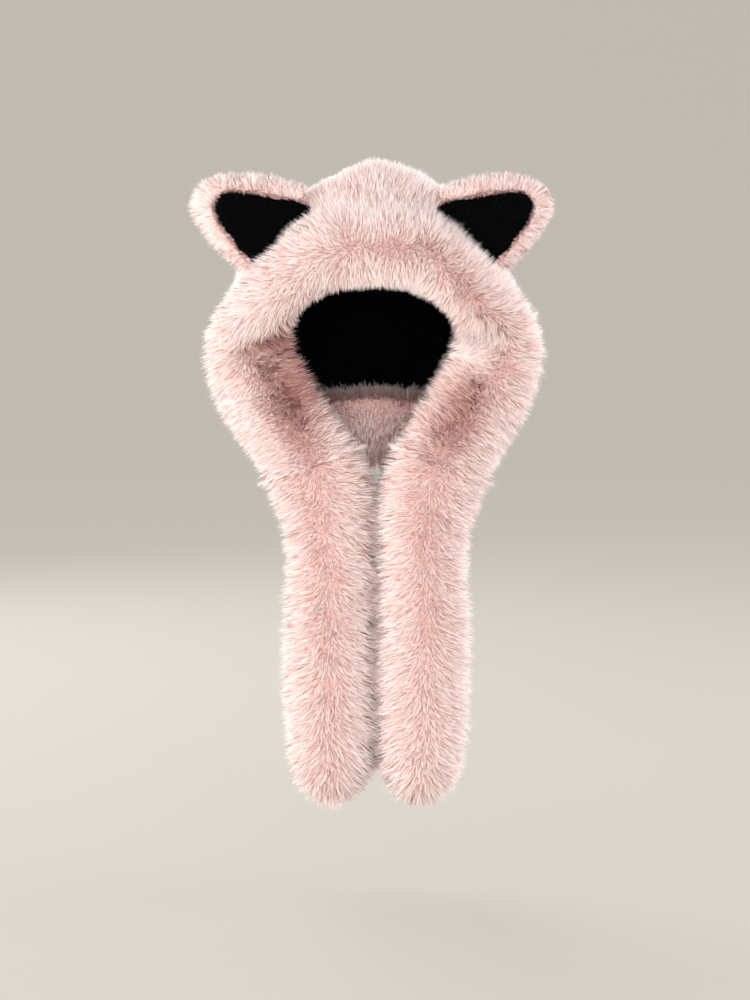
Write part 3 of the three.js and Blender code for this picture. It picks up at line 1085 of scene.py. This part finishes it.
@dataclass(frozen=True)
class StripLay:
    """How the pile lies on the strip and its ends.

    The tables named for a depth read how far below the top of the hollow a point is. soft is how far from a
    parting the pile is combed fully, and edge_reach is how far the face opening's edge shortens it. The
    pile above the fold is combed out from the whorl, and turns over to the parting's within fold_soft.
    """

    soft: float = 0.03
    middle_soft: float = 0.03
    fold_soft: float = 0.008
    whorl_step: float = 0.09
    whorl_wander: float = 0.006
    back: float = 0.25
    hang_at_depth: Table = Table(at=(0.14, 0.3, 0.45, 0.78), value=(0.0, 0.1, 0.28, 0.42))
    spread_at_depth: Table = Table(at=(0.3, 0.45), value=(0.75, 0.6))
    chin_at_depth: Table = Table(at=(0.3, 0.37, 0.43), value=(1.0, 0.82, 1.0))
    paler_at_depth: Table = Table(at=(0.45, 0.75), value=(0.0, 0.12))
    edge: Table = Table(at=(-0.22, -0.17), value=(1.1, 0.25))
    edge_reach: float = 0.04
    # The next four lower the tone along the partings, for the deeper roots that show where the pile opens
    # and as painted shade in its groove: how much, how wide, and how its line wanders.
    parting: Table = Table(at=(-0.28, -0.2), value=(0.13, 0.05))
    parting_reach: float = 0.022
    parting_step: float = 0.12
    parting_wander: float = 0.01
    # The next three set the painted shadow under the fold over the left cheek: how deep it is across the
    # face, how wide, and how far below the fold it lies.
    fold: Table = Table(at=(-0.19, -0.16, -0.1, -0.08), value=(0.0, 0.3, 0.3, 0.0))
    fold_shadow_reach: float = 0.009
    fold_shadow_drop: float = 0.008

    def flow(self, points: np.ndarray, normals: np.ndarray) -> np.ndarray:
        """Combs the pile out from the whorl on the forehead and away from its partings.

        Args:
            points: Places on the strip.
            normals: The normals at them.

        Returns:
            The directions of the pile.
        """
        left = PARTINGS[Side.LEFT].away(points, self.soft)
        right = PARTINGS[Side.RIGHT].away(points, self.soft)
        star = (points + waves(points, self.whorl_step) * self.whorl_wander - WHORL) * (1, 0, 1)
        star /= np.maximum(np.linalg.norm(star, axis=1, keepdims=True), self.soft)
        visor = np.clip(above_fold(points) / self.fold_soft + 0.5, 0, 1)
        left = left + (star - left) * visor[:, None]
        side = np.clip(points[:, 0] / self.middle_soft + 1, 0, 1)[:, None]
        away = left + (right - left) * side
        hang = self.hang_at_depth.read(-points[:, 2])
        spread = self.spread_at_depth.read(-points[:, 2])
        return away * spread[:, None] + np.array([0.0, self.back, 0.0]) + DOWN * hang[:, None]

    def trim(self, points: np.ndarray, normals: np.ndarray) -> np.ndarray:
        """Shortens the pile at the upper edge of the face opening, and leaves it long beside the cheeks.

        Args:
            points: Places on the strip.
            normals: The normals at them.

        Returns:
            The share of its length that the pile keeps.
        """
        distance = FACE_EDGE.nearest(mirrored(points))[1]
        edge = self.edge.read(points[:, 2])
        chin = self.chin_at_depth.read(-points[:, 2])
        return (edge + (1 - edge) * np.clip(distance / self.edge_reach, 0, 1)) * chin

    def tone(self, points: np.ndarray, normals: np.ndarray) -> np.ndarray:
        """Paints shade into the cheeks' hollows and under the fold, deepens the partings with shade and
        their deeper roots, and pales the pile low on the ends.

        Args:
            points: Places on the strip.
            normals: The normals at them.

        Returns:
            How much higher or lower the tone is there.
        """
        tone = self.paler_at_depth.read(-points[:, 2])
        # Painted shade in the cheeks' hollows.
        for hollow in SHADED_HOLLOWS:
            away = (points[:, 0] - hollow.across) ** 2 + (points[:, 2] - hollow.up) ** 2
            tone -= hollow.depth * np.exp(-away / hollow.reach**2)
        spots = points + waves(points, self.parting_step) * self.parting_wander
        left = PARTINGS[Side.LEFT].nearest(spots)[1]
        right = PARTINGS[Side.RIGHT].nearest(spots)[1]
        # Painted shadow just under the fold, where the visor overhangs the left cheek.
        fold_shadow = np.exp(-(((above_fold(points) + self.fold_shadow_drop) / self.fold_shadow_reach) ** 2))
        tone -= fold_shadow * self.fold.read(points[:, 0])
        # Along the partings the tone drops for the deeper roots that show there and for painted shade in the
        # groove.
        depth = self.parting.read(points[:, 2])
        return tone - depth * np.exp(-((np.minimum(left, right) / self.parting_reach) ** 2))


@dataclass(frozen=True)
class HoodFur:
    """The hood itself: underfur and long pile over the crown, the sides and the back."""

    coat: Coat = Coat(strands=60000, length=0.024, width=0.0009)
    voxel: float = 0.009
    sink: float = 0.014
    cover: float = 0.006
    sideways: float = 2.5
    strength: float = 0.9
    rise: Table = Table(at=(-0.08, 0.0, 0.08, 0.13), value=(0.9, 0.2, -0.6, -0.9))
    back: Table = Table(at=(-0.08, 0.0, 0.08, 0.13), value=(0.3, 0.8, 0.6, 0.2))
    density: Table = Table(at=(-0.16, -0.08), value=(0.8, 1.5))
    shoulders: Table = Table(at=(-0.05, 0.0, 0.05, 0.075), value=(0.55, 0.95, 1.05, 0.85))
    upper: Table = Table(at=(-0.04, -0.02), value=(0.0, 1.0))
    fore: Table = Table(at=(0.03, 0.09), value=(1.0, 0.0))
    by_panel: Table = Table(at=(0.002, 0.02), value=(0.4, 1.0))
    behind_panel: Table = Table(at=(-0.055, -0.035), value=(0.0, 1.0))

    def build(self, form: CoatForm, underfur: bpy.types.Material, pile: bpy.types.Material) -> None:
        """Makes the underfur and the pile.

        Args:
            form: The coat's form.
            underfur: The underfur's material.
            pile: The pile's material.
        """
        backing = Backing("hood_shell", self.voxel, self.sink, form, cover=self.cover)
        pelt = Pelt("hood_fur", self.coat, pile, FUR_SLOT, 11)
        pelt.grow(backing.build(underfur), self.combed, keep=self.dense, trim=self.shortened)

    def combed(self, points: np.ndarray, normals: np.ndarray) -> np.ndarray:
        """Combs the hood from the forehead up over the crown and down to the nape.

        Args:
            points: Places on the hood.
            normals: The normals at them.

        Returns:
            The directions of the pile.
        """
        rise = self.rise.read(points[:, 1])
        back = self.back.read(points[:, 1])
        return np.stack([points[:, 0] * self.sideways, back, rise], axis=1) * self.strength

    def dense(self, points: np.ndarray, normals: np.ndarray) -> np.ndarray:
        """Makes the pile denser over the crown, where it shows most."""
        return self.density.read(points[:, 2])

    def shortened(self, points: np.ndarray, normals: np.ndarray) -> np.ndarray:
        """Keeps the pile short in front of the ears' panels and on the crown's left shoulder.

        Args:
            points: Places on the hood.
            normals: The normals at them.

        Returns:
            The share of its length that the pile keeps.
        """
        share = self.shoulders.read(points[:, 0])
        share = 1 + (share - 1) * self.upper.read(points[:, 2]) * self.fore.read(points[:, 1])
        for side in Side:
            near = nearest_on(f"ear_panel_{side.word}", points)
            short = self.by_panel.read(np.linalg.norm(points - near, axis=1))
            behind = self.behind_panel.read(points[:, 1])
            share = np.minimum(share, short + (1 - short) * behind)
        return share


@dataclass(frozen=True)
class StripFur:
    """The fur strip round the face opening, from cheek to cheek over the forehead."""

    coat: Coat = Coat(strands=51000, length=0.0255)
    voxel: float = 0.008
    sink: float = 0.01
    lay: StripLay = StripLay()
    lift_reach: float = 0.04
    lifted: Table = Table(at=(-0.2, -0.165), value=(0.0, 0.007))
    aside_at_depth: Table = Table(at=(0.28, 0.36), value=(0.0, 1.0))

    def build(self, form: CoatForm, underfur: bpy.types.Material, pile: bpy.types.Material) -> None:
        """Makes the underfur and both halves of the pile.

        Args:
            form: The coat's form.
            underfur: The underfur's material.
            pile: The pile's material.
        """
        backing = Backing("face_band", self.voxel, self.sink, form, self.raised)
        surface = backing.build(underfur)
        for side in Side:
            name = f"face_band_fur_{side.word}"
            pelt = Pelt(name, self.coat, pile, FUR_SLOT, 23 + side.value)
            pelt.grow(surface, self.lay.flow, self.half(side), self.lay.tone, self.lay.trim)

    def raised(self, points: np.ndarray, normals: np.ndarray) -> np.ndarray:
        """Raises the upper edge of the face opening, and leads the lower ends aside with the scarf ends.

        Args:
            points: Places on the backing.
            normals: The normals at them.

        Returns:
            The places after it.
        """
        near = np.clip(1 - FACE_EDGE.nearest(mirrored(points))[1] / self.lift_reach, 0, 1)
        up = near * self.lifted.read(points[:, 2])
        across = ASIDE * self.aside_at_depth.read(-points[:, 2])
        return points + np.stack([across, np.zeros(len(up)), up], axis=1)

    def half(self, side: Side) -> Measure:
        """Keeps the pile on one side of the face.

        Args:
            side: Which half to keep.

        Returns:
            The test for points and normals.
        """

        def keep(points: np.ndarray, normals: np.ndarray) -> np.ndarray:
            """Tells the half's points from the rest."""
            return points[:, 0] * side.value >= 0

        return keep


@dataclass(frozen=True)
class ScarfEnd:
    """One of the two long ends that hang in front."""

    side: Side
    coat: Coat = Coat(strands=40000, length=0.025, lift=0.86, tip_lift=0.67)
    voxel: float = 0.008
    sink: float = 0.01
    lay: StripLay = StripLay()
    crease: float = 0.035
    lean: float = 0.65
    forward: float = 0.011
    raised: float = 0.009
    leaning_at_depth: Table = Table(at=(0.385, 0.47), value=(0.05, 1.0))
    raised_at_depth: Table = Table(at=(0.5, 0.83), value=(0.0, 1.0))

    def build(self, form: CoatForm, underfur: bpy.types.Material, pile: bpy.types.Material) -> None:
        """Makes the underfur and the pile.

        Args:
            form: The coat's form.
            underfur: The underfur's material.
            pile: The pile's material.
        """
        node = f"scarf_end_{self.side.word}"
        backing = Backing(node, self.voxel, self.sink, form, self.settled)
        pelt = Pelt(f"{node}_fur", self.coat, pile, FUR_SLOT, 37 + self.side.value)
        pelt.grow(backing.build(underfur), self.lay.flow, tone=self.lay.tone)

    def settled(self, points: np.ndarray, normals: np.ndarray) -> np.ndarray:
        """Lets the end lean on the other one, so that only a narrow crease is left between them.

        Args:
            points: Places on the backing.
            normals: The normals at them.

        Returns:
            The places after it.
        """
        inner = np.clip(1 - np.abs(points[:, 0]) / self.crease, 0, 1)
        inner = inner * self.leaning_at_depth.read(-points[:, 2])
        across = points[:, 0] * (1 - self.lean * inner) + ASIDE
        depth = points[:, 1] - self.forward * inner * np.clip(-normals[:, 1] * 2, 0, 1)
        up = points[:, 2] + self.raised * self.raised_at_depth.read(-points[:, 2])
        return np.stack([across, depth, up], axis=1)


@dataclass(frozen=True)
class Collar:
    """The fur collar that closes the hood behind the neck."""

    coat: Coat = Coat(strands=16000, length=0.025, width=0.0011)
    voxel: float = 0.008
    sink: float = 0.011
    forward: float = -0.04
    round_neck: float = 0.5
    down: float = 0.8

    def build(self, form: CoatForm, underfur: bpy.types.Material, pile: bpy.types.Material) -> None:
        """Makes the underfur and the pile."""
        surface = Backing("collar", self.voxel, self.sink, form).build(underfur)
        Pelt("collar_fur", self.coat, pile, FUR_SLOT, 53).grow(surface, self.combed)

    def combed(self, points: np.ndarray, normals: np.ndarray) -> np.ndarray:
        """Combs the pile down and round to the front.

        Args:
            points: Places on the collar.
            normals: The normals at them.

        Returns:
            The directions of the pile.
        """
        forward = np.full(len(points), self.forward)
        sideways = np.stack([points[:, 0], forward, np.zeros(len(points))], axis=1)
        return unit(sideways) * self.round_neck + DOWN * self.down


def nearest_on(node: str, points: np.ndarray) -> np.ndarray:
    """Finds the place of a CAD node that is nearest to each point.

    Args:
        node: The node's name.
        points: The points.

    Returns:
        The places on the node.
    """
    tree = tree_of(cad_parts[node].data)
    return np.array([tree.find_nearest(Vector(point))[0] for point in points])


def facing_front(points: np.ndarray, normals: np.ndarray) -> np.ndarray:
    """Keeps the pile on faces that look forward."""
    return normals[:, 1] < FORWARD_LIMIT


FORWARD_LIMIT = -0.3
EAR_REACH = {
    Side.LEFT: Table(at=(0.09, 0.14, 0.18, 0.225), value=(0.85, 0.9, 0.95, 1.12)),
    Side.RIGHT: Table(at=(0.09, 0.14, 0.18, 0.225), value=(0.85, 0.9, 0.95, 0.78)),
}


@dataclass(frozen=True)
class Ear:
    """One pointed ear: short fur behind and round the rim, black plush in front."""

    side: Side
    coat: Coat = Coat(strands=16000, length=0.018, lift=0.76, tip_lift=0.5, fall=0.0, unruly=0.18)
    nap: Coat = Coat(strands=6000, length=0.006, width=0.0011, lift=0.6, fall=0.0)
    voxel: float = 0.005
    sink: float = 0.009
    panel_voxel: float = 0.003
    panel_swell: float = 0.0035
    panel_reach: float = 0.012
    corner_from: float = 0.135
    corner_run: float = 0.045
    rim: float = 0.006
    tipward: float = 0.25
    nap_comb: float = 0.8
    deeper: float = -0.05
    front: Table = Table(at=(0.2, 0.7), value=(1.0, 0.0))
    by_panel: Table = Table(at=(0.002, 0.014), value=(0.55, 1.0))

    @property
    def tipwards(self) -> np.ndarray:
        """The direction from the ear's base to its tip."""
        return np.array([0.93 * self.side.value, 0.05, 0.35])

    def build(
        self,
        underfur: bpy.types.Material,
        pile: bpy.types.Material,
        plush: bpy.types.Material,
        nap: bpy.types.Material,
    ) -> None:
        """Makes the underfur and the pile behind, and the plush panel and its nap in front.

        Args:
            underfur: The underfur's material.
            pile: The pile's material.
            plush: The panel's material.
            nap: The material of the panel's nap.
        """
        node = f"ear_{self.side.word}"
        surface = Backing(node, self.voxel, self.sink, rounds=6).build(underfur)
        pelt = Pelt(f"{node}_fur", self.coat, pile, FUR_SLOT, 61 + self.side.value)
        pelt.grow(surface, self.outward, tone=self.tone, trim=self.trim)
        node = f"ear_panel_{self.side.word}"
        panel = PlushPiece(node, self.panel_voxel, self.panel_swell, self.drawn_in)
        front = Pelt(f"{node}_nap", self.nap, nap, PLUSH_SLOT, 71 + self.side.value)
        front.grow(panel.build(plush), self.along, facing_front)

    def drawn_in(self, points: np.ndarray, normals: np.ndarray) -> np.ndarray:
        """Draws the panel's inner corner out towards the crown.

        Args:
            points: Places on the panel.
            normals: The normals at them.

        Returns:
            The places after it.
        """
        share = np.clip((self.corner_from - np.abs(points[:, 0])) / self.corner_run, 0, 1.2) ** 2
        crownwards = np.array([-self.side.value, -0.15, -0.2])
        return points + share[:, None] * self.panel_reach * crownwards

    def outward(self, points: np.ndarray, normals: np.ndarray) -> np.ndarray:
        """Combs the pile straight out from the panel's edge, and a little towards the tip.

        Args:
            points: Places on the ear.
            normals: The normals at them.

        Returns:
            The directions of the pile.
        """
        away = (points - nearest_on(f"ear_panel_{self.side.word}", points)) * (1, 0, 1)
        away /= np.maximum(np.linalg.norm(away, axis=1, keepdims=True), self.rim)
        return away * (1 - self.tipward) + self.tipwards * self.tipward

    def along(self, points: np.ndarray, normals: np.ndarray) -> np.ndarray:
        """Combs the nap towards the tip."""
        return np.broadcast_to(self.tipwards * self.nap_comb, points.shape)

    def tone(self, points: np.ndarray, normals: np.ndarray) -> np.ndarray:
        """Sets the tone of the ears' pile against that of the hood."""
        return np.full(len(points), self.deeper)

    def trim(self, points: np.ndarray, normals: np.ndarray) -> np.ndarray:
        """Shortens the pile on the front beside the panel and towards the hood.

        Args:
            points: Places on the ear.
            normals: The normals at them.

        Returns:
            The share of its length that the pile keeps.
        """
        near = nearest_on(f"ear_panel_{self.side.word}", points)
        distance = np.linalg.norm((points - near)[:, (0, 2)], axis=1)
        front = self.front.read(-normals[:, 1])
        reach = EAR_REACH[self.side].read(points[:, 0] * self.side.value)
        return np.maximum(front, self.by_panel.read(distance)) * reach


@dataclass
class PlushPiece:
    """A black plush piece in place of its CAD node, with its facets smoothed away.

    voxel is the size of the new mesh's faces, or 0 for its own faces split. swell is how far it grows again
    after it is smoothed, to fill its recess, and reshape moves its places at the end.
    """

    node: str
    voxel: float
    swell: float = 0.0
    reshape: Flow | None = None
    rounds: int = 6

    def build(self, plush: bpy.types.Material) -> Surface:
        """Makes the piece.

        Args:
            plush: Its material.

        Returns:
            The surface that a nap can grow from.
        """
        mesh = softened(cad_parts[self.node].data, self.voxel, self.rounds)
        mesh.name = f"{self.node}_plush"
        points, normals = places(mesh)
        points = points + normals * self.swell
        if self.reshape is not None:
            points = self.reshape(points, normals)
        mesh.vertices.foreach_set("co", points.ravel())
        mesh.update()
        mesh.materials.clear()
        mesh.materials.append(plush)
        mesh.shade_smooth()
        piece = bpy.data.objects.new(mesh.name, mesh)
        bpy.context.scene.collection.objects.link(piece)
        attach(piece, "root")
        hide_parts(self.node)
        log.info("%s: %d faces", piece.name, len(mesh.polygons))
        return Surface(mesh)


@dataclass(frozen=True)
class AreaLamp:
    """One soft lamp of the studio."""

    name: str
    place: tuple[float, float, float]
    power: float
    size: float
    colour: str = "FFFFFF"


@dataclass
class Studio:
    """A pale floor that rises all round into a pale wall, soft lamps and the camera."""

    floor_level: float = -0.93
    reach: float = 5.2
    bend: float = 1.3
    wall_top: float = 1.5
    bend_steps: int = 12
    turns: int = 72
    air: str = "F2F3F5"
    air_strength: float = 0.72
    target: Vector = field(default_factory=lambda: Vector((0.002, -0.03, -0.425)))
    distance: float = 4.5
    elevation: float = 6.0
    seen_height: float = 1.34
    lamps: tuple[AreaLamp, ...] = (
        AreaLamp("key_lamp", (-2.4, -1.8, 0.0), 76.0, 2.2, "FFFBF8"),
        AreaLamp("front_lamp", (0.1, -2.9, -0.45), 106.0, 2.4),
        AreaLamp("side_lamp", (2.6, 0.5, 0.3), 66.0, 2.0, "F8FAFF"),
        AreaLamp("back_lamp", (-1.3, 2.3, 0.9), 100.0, 2.2),
        AreaLamp("top_lamp", (0.2, 1.1, 2.1), 24.0, 2.4),
    )

    def build(self) -> None:
        """Makes the backdrop, the lamps, the world and the camera."""
        bpy.context.scene.view_settings.view_transform = "Standard"
        self.backdrop()
        for lamp in self.lamps:
            self.hang(lamp)
        self.world()
        self.camera()

    def backdrop(self) -> None:
        """Turns one profile from the floor up into the wall."""
        profile = [(0.0, self.floor_level), (self.reach, self.floor_level)]
        for k in range(1, self.bend_steps + 1):
            angle = math.pi / 2 * k / self.bend_steps
            out = self.reach + self.bend * math.sin(angle)
            profile.append((out, self.floor_level + self.bend * (1 - math.cos(angle))))
        profile.append((self.reach + self.bend, self.wall_top))
        rounds = [math.tau * k / self.turns for k in range(self.turns)]
        points = [(r * math.cos(a), r * math.sin(a), z) for r, z in profile for a in rounds]
        faces = []
        for ring in range(len(profile) - 1):
            first = ring * self.turns
            above = first + self.turns
            for k in range(self.turns):
                after = (k + 1) % self.turns
                faces.append((first + k, first + after, above + after, above + k))
        mesh = bpy.data.meshes.new("backdrop")
        mesh.from_pydata(points, [], faces)
        mesh.shade_smooth()
        mesh.materials.append(PALE_PAPER.material())
        floor = bpy.data.objects.new("backdrop", mesh)
        bpy.context.scene.collection.objects.link(floor)

    def hang(self, lamp: AreaLamp) -> None:
        """Makes one lamp and turns it to the hood.

        Args:
            lamp: What it is and where it hangs.
        """
        data = bpy.data.lights.new(lamp.name, "AREA")
        data.energy = lamp.power
        data.size = lamp.size
        data.color = srgb(lamp.colour)[:3]
        item = bpy.data.objects.new(lamp.name, data)
        item.location = lamp.place
        item.rotation_euler = (self.target - item.location).to_track_quat("-Z", "Y").to_euler()
        bpy.context.scene.collection.objects.link(item)

    def world(self) -> None:
        """Lights the room evenly from all sides."""
        world = bpy.data.worlds.new("studio_air")
        world.use_nodes = True
        air = world.node_tree.nodes["Background"]
        air.inputs["Color"].default_value = srgb(self.air)
        air.inputs["Strength"].default_value = self.air_strength
        bpy.context.scene.world = world

    def camera(self) -> None:
        """Sets the camera in front of the hood, a little above it."""
        data = bpy.data.cameras.new("camera")
        data.sensor_width = 36.0
        data.lens = data.sensor_width / 2 / (self.seen_height / 2 / self.distance)
        item = bpy.data.objects.new("camera", data)
        rise = math.radians(self.elevation)
        back = Vector((0.0, -math.cos(rise), math.sin(rise)))
        item.location = self.target + back * self.distance
        item.rotation_euler = (-back).to_track_quat("-Z", "Y").to_euler()
        bpy.context.scene.collection.objects.link(item)
        bpy.context.scene.camera = item


def main() -> None:
    """Builds the studio and the hood scarf."""
    logging.basicConfig(level=logging.INFO, format="%(message)s")
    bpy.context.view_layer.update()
    Studio().build()
    underfur = PINK_UNDERFUR.material()
    pile = PINK_PILE.material()
    plush = BLACK_PLUSH.material()
    nap = BLACK_NAP.material()
    form = CoatForm(("hood_shell", "face_band", "collar"), ("scarf_end_left", "scarf_end_right"))
    HoodFur().build(form, underfur, pile)
    StripFur().build(form, underfur, pile)
    Collar().build(form, underfur, pile)
    for side in Side:
        ScarfEnd(side).build(form, underfur, pile)
        Ear(side).build(underfur, pile, plush, nap)
    PlushPiece("hood_lining", 0).build(plush)
    log.info("sizes written")


if __name__ == "__main__":
    main()
